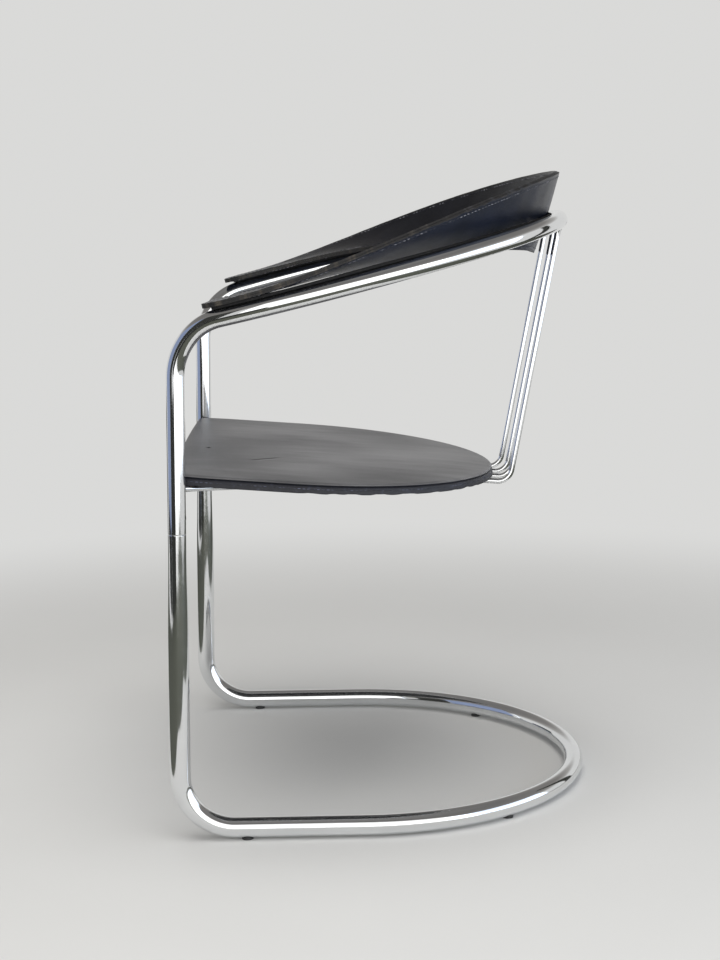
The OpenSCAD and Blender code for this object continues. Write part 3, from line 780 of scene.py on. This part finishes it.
def waxed(bright):
    """Navy thread, rubbed to a brighter tone in places."""
    def varied(wire):
        place = on_object(wire)
        ply = place.noise(1500.0, 2.0)
        rubbed = place.noise(75.0, 3.0).step(0.40, 0.66)
        return {"Base Color": rubbed.colours((0.012, 0.013, 0.022, 1), bright),
                "Roughness": 0.5 + 0.2 * ply,
                "Normal": ply.bump(0.0001)}
    return varied


seat_thread = finish("waxed_thread", {}, waxed((0.13, 0.14, 0.21, 1)))
band_thread = finish("rubbed_thread", {}, waxed((0.34, 0.34, 0.38, 1)))


def stitches(name, seams, thread):
    """Stitches at a steady pitch along seams, each a list of (place, outward direction)."""
    places, runs, outs = [], [], []
    for seam in seams:
        travelled = 0.0
        due = stitch_pitch / 2
        for (a, out_a), (b, out_b) in zip(seam, seam[1:]):
            gap = (b - a).length
            while due < travelled + gap:
                share = (due - travelled) / gap
                places.append(a.lerp(b, share))
                runs.append((b - a).normalized())
                outs.append(out_a.lerp(out_b, share).normalized())
                due += stitch_pitch
            travelled += gap
    mesh = bpy.data.meshes.new(name + "_places")
    mesh.from_pydata(places, [], [])
    for label, vectors in (("run", runs), ("out", outs)):
        store = mesh.attributes.new(label, "FLOAT_VECTOR", "POINT")
        store.data.foreach_set("vector", [number for vector in vectors for number in vector])
    made = grown(name, mesh, stitch_tree, {"Length": stitch_len, "Thread": stitch_thick, "Material": thread})
    for face in made.data.polygons:
        face.use_smooth = True
    return made


side_seam_z = -0.0072
side_seam_inset = 0.0014
side_seam = []
outline = seat_outline(side_seam_inset)
for before, at, after in zip(outline[-1:] + outline[:-1], outline, outline[1:] + outline[:1]):
    away = Vector(((after - before).y, -(after - before).x, 0)).normalized()
    side_seam.append((seat_frame @ Vector((at.x, at.y, side_seam_z)), seat_frame.to_3x3() @ away))
side_seam.append(side_seam[0])
side_stitches = stitches("seat_side_stitches", [side_seam], seat_thread)
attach(side_stitches, "root")

# Support strip: a flat steel strip, painted black, that lies along the tube under the leather and
# twists with it. It shows as a dark line between them, and is slimmer behind the back, where they meet.
hide_t = 0.0028
band_out = 0.012
band_in = 0.048
band_rise = 0.060
band_drop = 0.0345
band_tuck = 0.005
rise_end = 106
rise_power = 1.7
drop_end = 94
drop_power = 0.78
tip_len = 0.030
band_angle = 114.1
strip_w = 0.016
strip_t = 0.0035
strip_round = 0.0004
strip_short = 0.020
strip_slim = 0.0035
slim_inside = 60
slim_outside = 95
strip_angle = band_angle - degrees(strip_short / arm_r)
band_mid = upper_r + strip_t + hide_t
sag_max = 0.004


def band_frame(phi):
    """The band's cross-section at an angle in degrees: lower edge, direction, width, normal and bow."""
    rise = ease(1 - (abs(phi) / rise_end) ** rise_power)
    drop = ease(1 - (abs(phi) / drop_end) ** drop_power)
    top = Vector((band_out, band_mid + (band_rise - band_mid) * rise))
    low = Vector((-band_in + band_tuck * drop, band_mid - (band_drop + band_mid) * drop))
    way = (top - low).normalized()
    width = (top - low).length
    normal = Vector((-way.y, way.x))
    share = -low.dot(way) / width
    need = max(0, low.dot(normal) - band_mid) / (4 * share * (1 - share))
    return low, way, width, normal, sag_max * need / (need + sag_max)


def band_place(phi, share, off):
    """A point of the band by its angle, its share of the width from the lower edge, and its offset."""
    low, way, width, normal, bow = band_frame(phi)
    flat = low + way * width * share + normal * (off - 4 * bow * share * (1 - share))
    return on_arc(radians(phi), flat.x, flat.y)


strip_steps = 220
strip_work = bmesh.new()
strip_rings = []
for i in range(strip_steps + 1):
    phi = strip_angle * (2 * i / strip_steps - 1)
    _, way, _, normal, _ = band_frame(phi)
    slim = strip_slim * ease((slim_outside - abs(phi)) / (slim_outside - slim_inside))
    half = strip_w / 2 - slim
    ring = []
    for up, along in ((upper_r, -1), (upper_r, 1), (upper_r + strip_t, 1), (upper_r + strip_t, -1)):
        flat = normal * up + way * along * half
        ring.append(strip_work.verts.new(on_arc(radians(phi), flat.x, flat.y)))
    strip_rings.append(ring)
join_rings(strip_work, strip_rings)
strip_work.faces.new(strip_rings[0])
strip_work.faces.new(strip_rings[-1])
bmesh.ops.recalc_face_normals(strip_work, faces=strip_work.faces)


def matt_paint(wire):
    place = on_object(wire)
    dust = place.noise(220.0, 4.0, 0.7)
    return {"Base Color": dust.step(0.5, 0.8).colours((0.010, 0.010, 0.011, 1), (0.030, 0.029, 0.028, 1)),
            "Roughness": 0.68 + 0.2 * dust,
            "Normal": dust.bump(0.00005)}


def round_edges(piece, width, segments, least):
    """Rounds the edges where a piece turns by more than the least angle."""
    bevel = piece.modifiers.new("edges", "BEVEL")
    bevel.width = width
    bevel.segments = segments
    bevel.limit_method = "ANGLE"
    bevel.angle_limit = radians(least)


strip_paint = finish("strip_paint", {"Specular IOR Level": 0.3}, matt_paint)
strip_piece = mesh_object("support_strip_steel", strip_work, [strip_paint])
round_edges(strip_piece, strip_round, 2, 50)
for face in strip_piece.data.polygons:
    face.use_smooth = True
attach(strip_piece, "root")
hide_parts("support_strip")

# Leather band: two layers of saddle leather, glued and stitched near both edges. It lies flat on the
# arms and twists to stand up behind the back. The outer layer's colour carries a painted blue sheen.
# Its cut edges are dyed and rubbed brown along the arms; behind the back their paler patches are
# bluish grey, a painted sheen.
glue_half = 0.00008
edge_round = 0.0006
band_wave = 0.0004
rim_reach = 0.008
band_seam_in = 0.005
band_along = 260
band_across = 18
tip_steps = 14
tip_turn = radians(87)


def band_stations():
    """Angles along the band with the share of its width kept there, which rounds the arm ends."""
    tip = degrees(tip_len / arm_r)
    start = band_angle - tip
    middle = [(start * (2 * i / band_along - 1), 1.0) for i in range(band_along + 1)]
    turns = [tip_turn * i / tip_steps for i in range(1, tip_steps + 1)]
    ends = [(start + tip * sin(turn), cos(turn)) for turn in turns]
    return [(-phi, keep) for phi, keep in ends[::-1]] + middle + ends


def band_sheet(name, off, thick, materials):
    """One layer of the band: a fine sheet at an offset, thickened, with its cut edges rounded."""
    work = bmesh.new()
    chart = work.loops.layers.uv.new("hide")
    rim = work.verts.layers.float.new("rim")
    flat = {}
    rows = []
    for phi, keep in band_stations():
        row = []
        width = band_frame(phi)[2]
        for j in range(band_across + 1):
            share = 0.5 + (j / band_across - 0.5) * keep
            wave = band_wave * noise.noise(Vector((phi * 0.22, share * 3, 7.0)))
            vert = work.verts.new(band_place(phi, share, off + wave))
            edge = min(share - 0.5 + keep / 2, 0.5 + keep / 2 - share) * width
            vert[rim] = min(edge, rim_reach * keep)
            flat[vert] = (radians(phi) * arm_r, share * width)
            row.append(vert)
        rows.append(row)
    join_rings(work, rows, closed=False)
    for face in work.faces:
        face.smooth = True
        for loop in face.loops:
            loop[chart].uv = flat[loop.vert]
    made = mesh_object(name, work, materials)
    wall = made.modifiers.new("thickness", "SOLIDIFY")
    wall.thickness = thick
    wall.offset = -1.0
    wall.material_offset_rim = 1
    round_edges(made, edge_round, 3, 60)
    return made


def band_hide(dark, light):
    """Pebbled saddle leather between two near-black tones, scuffed at its edges, grooved at its seams."""
    def look(wire):
        chart = wire.node("ShaderNodeUVMap", {"uv_map": "hide"})
        rim = wire.node("ShaderNodeAttribute", {"attribute_name": "rim"}, out=2)
        grain = chart.cells(1100.0, "DISTANCE_TO_EDGE").step(0.0, 0.24)
        fine = chart.noise(2400.0, 2.0)
        cloud = chart.noise(12.0, 4.0, 0.6)
        scuff = chart.noise(120.0, 5.0, 0.7)
        worn = (1 - rim.step(0.0, 0.0035)) * scuff.step(0.42, 0.62)
        groove = 1 - (rim - band_seam_in).math("ABSOLUTE").step(0.0002, 0.0011)
        black = cloud.step(0.3, 0.75).colours(dark, light)
        return {"Base Color": worn.colours(black, (0.040, 0.036, 0.034, 1)),
                "Roughness": 0.25 + 0.10 * cloud + 0.07 * scuff,
                "Normal": (grain * 0.5 + fine * 0.4 + scuff * 0.6 - groove * 2.2).bump(0.00009)}
    return look


def cut_edge(wire):
    chart = wire.node("ShaderNodeUVMap", {"uv_map": "hide"})
    fibres = chart.noise(700.0, 5.0, 0.7)
    along = wire.node("ShaderNodeSeparateXYZ", None, {"Vector": chart}).math("ABSOLUTE")
    bare = chart.noise(90.0, 4.0, 0.65).step(0.46, 0.80) * (0.35 + fibres)
    # Bare patches are rubbed brown along the arms; behind the back they are bluish grey, a painted sheen
    rubbed = along.step(0.26, 0.44).colours((0.058, 0.062, 0.075, 1), (0.088, 0.074, 0.056, 1))
    return {"Base Color": bare.colours((0.014, 0.0135, 0.0140, 1), rubbed),
            "Roughness": 0.50 + 0.25 * fibres,
            "Normal": fibres.bump(0.00025)}


# The outer layer's tones are lighter and bluer than the inner layer's: a painted blue sheen on the same
# black leather.
outer_leather_blue_sheen = finish("outer_leather_blue_sheen", {"Specular IOR Level": 0.34},
                       band_hide((0.0045, 0.0066, 0.0135, 1), (0.0105, 0.0150, 0.0320, 1)))
inner_leather = finish("inner_leather", {"Specular IOR Level": 0.24},
                       band_hide((0.0036, 0.0038, 0.0052, 1), (0.0080, 0.0085, 0.0120, 1)))
band_edge = finish("band_cut_edge", {}, cut_edge)
outer_band = band_sheet("band_outer_layer", -hide_t, hide_t - glue_half, [outer_leather_blue_sheen, band_edge])
inner_band = band_sheet("band_inner_layer", glue_half, hide_t - glue_half, [inner_leather, band_edge])
for piece in (outer_band, inner_band):
    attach(piece, "root")
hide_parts("band_outer")
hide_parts("band_inner")

seam_short = 4
seam_reach_share = 0.45


def band_seam(low_edge, outside):
    """The seam along one edge on one face, as places with outward directions."""
    seam = []
    for phi, keep in band_stations()[seam_short:-seam_short]:
        _, _, width, normal, _ = band_frame(phi)
        reach = min(band_seam_in, width * keep * seam_reach_share)
        share = 0.5 - keep / 2 + reach / width if low_edge else 0.5 + keep / 2 - reach / width
        off = -hide_t if outside else hide_t
        out = normal * (-1 if outside else 1)
        turn = radians(phi)
        facing = Vector((out.x * sin(turn), out.x * cos(turn), out.y))
        seam.append((band_place(phi, share, off), arms_frame.to_3x3() @ facing))
    return seam


band_stitches = stitches("band_stitches", [band_seam(low, outside) for low in (True, False)
                                           for outside in (True, False)], band_thread)
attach(band_stitches, "root")

# Glides: black moulded plastic buttons, pressed into the floor loop from below, two on each side.
# They hold the tube 2 mm off the floor.


def moulded(wire):
    place = on_object(wire)
    skin = place.noise(1600.0, 2.0)
    return {"Base Color": place.noise(50.0).colours((0.020, 0.020, 0.020, 1), (0.034, 0.034, 0.035, 1)),
            "Roughness": 0.5 + 0.2 * skin,
            "Normal": skin.bump(0.00006)}


glide_plastic = finish("glide_plastic", {}, moulded)
paint(["front_left_glide", "front_right_glide", "rear_left_glide", "rear_right_glide"], glide_plastic)

# Floor, lamps and camera: a plain pale floor that runs into a pale surround, large soft lamps, and the
# camera low at the side. Dark, blue and olive cards out of the picture give the chrome its lines.
pale = (0.70, 0.70, 0.69, 1)
floor_r = 14
floor_near = 0.75
floor_far = 1.9


def floor_look(wire):
    """A pale painted floor that turns into the plain tone of the surround with distance."""
    place = on_object(wire)
    away = place.node("ShaderNodeVectorMath", {"operation": "LENGTH"}, {0: place}, out=1)
    gone = away.step(floor_near, floor_far)
    paint_tone = place.noise(3.0).colours(pale, (0.73, 0.73, 0.72, 1))
    return {"Base Color": gone.colours(paint_tone, (0, 0, 0, 1)),
            "Emission Color": gone.colours((0, 0, 0, 1), pale),
            "Roughness": 0.85 + 0.1 * place.noise(60.0)}


bpy.ops.mesh.primitive_circle_add(vertices=96, radius=floor_r, fill_type="NGON", location=(0, 0, 0))
floor = bpy.context.object
floor.name = "floor"
floor.data.materials.append(finish("pale_floor", {"Specular IOR Level": 0.0, "Emission Strength": 1.0},
                                   floor_look))


def card_look(socket, scale, first, second):
    """Two close tones in soft clouds, for one socket."""
    def look(wire):
        return {socket: on_object(wire).noise(scale).colours(first, second)}
    return look


board_finish = finish("studio_board", {"Roughness": 0.9, "Specular IOR Level": 0.1},
                      card_look("Base Color", 8.0, (0.030, 0.031, 0.028, 1), (0.045, 0.046, 0.042, 1)))
mat_finish = finish("studio_mat", {"Roughness": 0.9, "Specular IOR Level": 0.1},
                    card_look("Base Color", 8.0, (0.085, 0.090, 0.072, 1), (0.115, 0.120, 0.100, 1)))
blue_finish = finish("blue_board", {"Base Color": (0, 0, 0, 1), "Specular IOR Level": 0.0,
                                    "Emission Strength": 1.0},
                     card_look("Emission Color", 2.0, (0.22, 0.27, 0.41, 1), (0.31, 0.37, 0.54, 1)))


def reflected_only(name, work, material):
    """A studio card out of the picture: it shows in the chrome, and takes no light from the floor."""
    made = mesh_object(name, work, [material])
    made.visible_camera = False
    made.visible_diffuse = False
    made.visible_shadow = False


def board(name, first, second, low, high, material):
    """An upright card over two places on the floor, from one height to another."""
    work = bmesh.new()
    corners = [(*first, low), (*second, low), (*second, high), (*first, high)]
    work.faces.new([work.verts.new(corner) for corner in corners])
    reflected_only(name, work, material)


blue_one = (0.90, -1.62)
blue_two = (-0.65, -2.25)
blue_low = 0.13
board("board_left_low", (1.96, -0.70), (1.46, -1.20), 0, 0.38, board_finish)
board("board_left", (1.46, -1.20), (0.92, -1.62), 0, 1.5, board_finish)
board("board_behind", (-1.5, -0.95), (-1.5, -2.3), 0, 0.30, board_finish)
board("board_right", (-0.66, 1.52), (-0.86, 1.42), 0, 1.3, board_finish)
board("board_blue", blue_one, blue_two, blue_low, 1.5, blue_finish)
board("board_foot", blue_one, blue_two, 0, blue_low, board_finish)
mat_z = 0.002
mat_spread = 2.6
mat_centre = Vector((-0.4, 0.0, mat_z))
mat_edge = bent_line([((-1.6, -0.88, mat_z), 0), ((0.78, -0.44, mat_z), 0.2), ((0.78, 0.37, mat_z), 0.2),
                      ((-1.6, 0.88, mat_z), 0)], longest=0.2)
mat_work = bmesh.new()
mat_rows = [[mat_work.verts.new(mat_centre + (point - mat_centre) * size) for point in mat_edge]
            for size in (1.0, mat_spread)]
join_rings(mat_work, mat_rows, closed=False)
reflected_only("studio_mat", mat_work, mat_finish)

world = bpy.data.worlds.new("surround")
bpy.context.scene.world = world
world.use_nodes = True
sky = Wire(world.node_tree)
world.node_tree.nodes.clear()
way = sky.node("ShaderNodeTexCoord")
height = sky.node("ShaderNodeSeparateXYZ", None, {"Vector": way}, out=2)
room = sky.node("ShaderNodeValToRGB",
                {"stops": [(0.0, pale), (0.65, pale), (0.69, (0.40, 0.39, 0.375, 1)),
                           (0.75, (0.22, 0.21, 0.20, 1)), (0.90, (0.17, 0.165, 0.16, 1)),
                           (1.0, (0.22, 0.215, 0.21, 1))]},
                {"Fac": height * 0.5 + 0.5})
back = sky.node("ShaderNodeBackground", None, {"Color": room, "Strength": 1.0})
world_out = world.node_tree.nodes.new("ShaderNodeOutputWorld")
world.node_tree.links.new(back.socket, world_out.inputs["Surface"])


def soft_lamp(name, place, aim, width, height, watts, tint, mirrored=True):
    """A rectangular lamp at a place, turned to its aim; unless mirrored, the chrome doesn't show it."""
    data = bpy.data.lights.new(name, "AREA")
    data.shape = "RECTANGLE"
    data.size = width
    data.size_y = height
    data.energy = watts
    data.color = tint
    lamp = bpy.data.objects.new(name, data)
    bpy.context.scene.collection.objects.link(lamp)
    lamp.matrix_world = (Matrix.Translation(place)
                         @ (Vector(aim) - Vector(place)).to_track_quat("-Z", "Y").to_matrix().to_4x4())
    lamp.visible_glossy = mirrored


soft_lamp("overhead", (0.4, -0.2, 2.5), (0, 0, 0.4), 2.4, 2.4, 46, (1.0, 0.99, 0.97), mirrored=False)
soft_lamp("window", (2.0, 1.165, 0.86), (0.1, 1.165, 0.8), 3.67, 1.7, 22.4, (1.0, 0.995, 0.98))
soft_lamp("window_side", (1.93, -0.92, 1.12), (0.2, -0.1, 1.12), 0.5, 1.44, 2.3, (1.0, 0.995, 0.98))
soft_lamp("sky_side", (0.9, 2.4, 0.74), (0, 0, 0.74), 3.0, 1.45, 17, (0.68, 0.81, 1.0))

tilt = radians(8.9056)
swing = radians(1.4142)
roll = radians(-0.5765)
eye = Vector((2.4853, -0.0906, 0.7841))
focal_px = 1877.78
photo_px_high = 960
ahead = Vector((-cos(tilt) * cos(swing), cos(tilt) * sin(swing), -sin(tilt)))
right = ahead.cross(Vector((0, 0, 1))).normalized()
over = right.cross(ahead)
camera_x = right * cos(roll) + over * sin(roll)
camera_y = -right * sin(roll) + over * cos(roll)
camera_data = bpy.data.cameras.new("camera")
camera_data.sensor_fit = "VERTICAL"
camera_data.sensor_height = 36.0
camera_data.lens = focal_px / photo_px_high * camera_data.sensor_height
camera = bpy.data.objects.new("camera", camera_data)
bpy.context.scene.collection.objects.link(camera)
camera.matrix_world = Matrix.Translation(eye) @ Matrix((camera_x, camera_y, -ahead)).transposed().to_4x4()
bpy.context.scene.camera = camera
bpy.context.scene.view_settings.view_transform = "Standard"
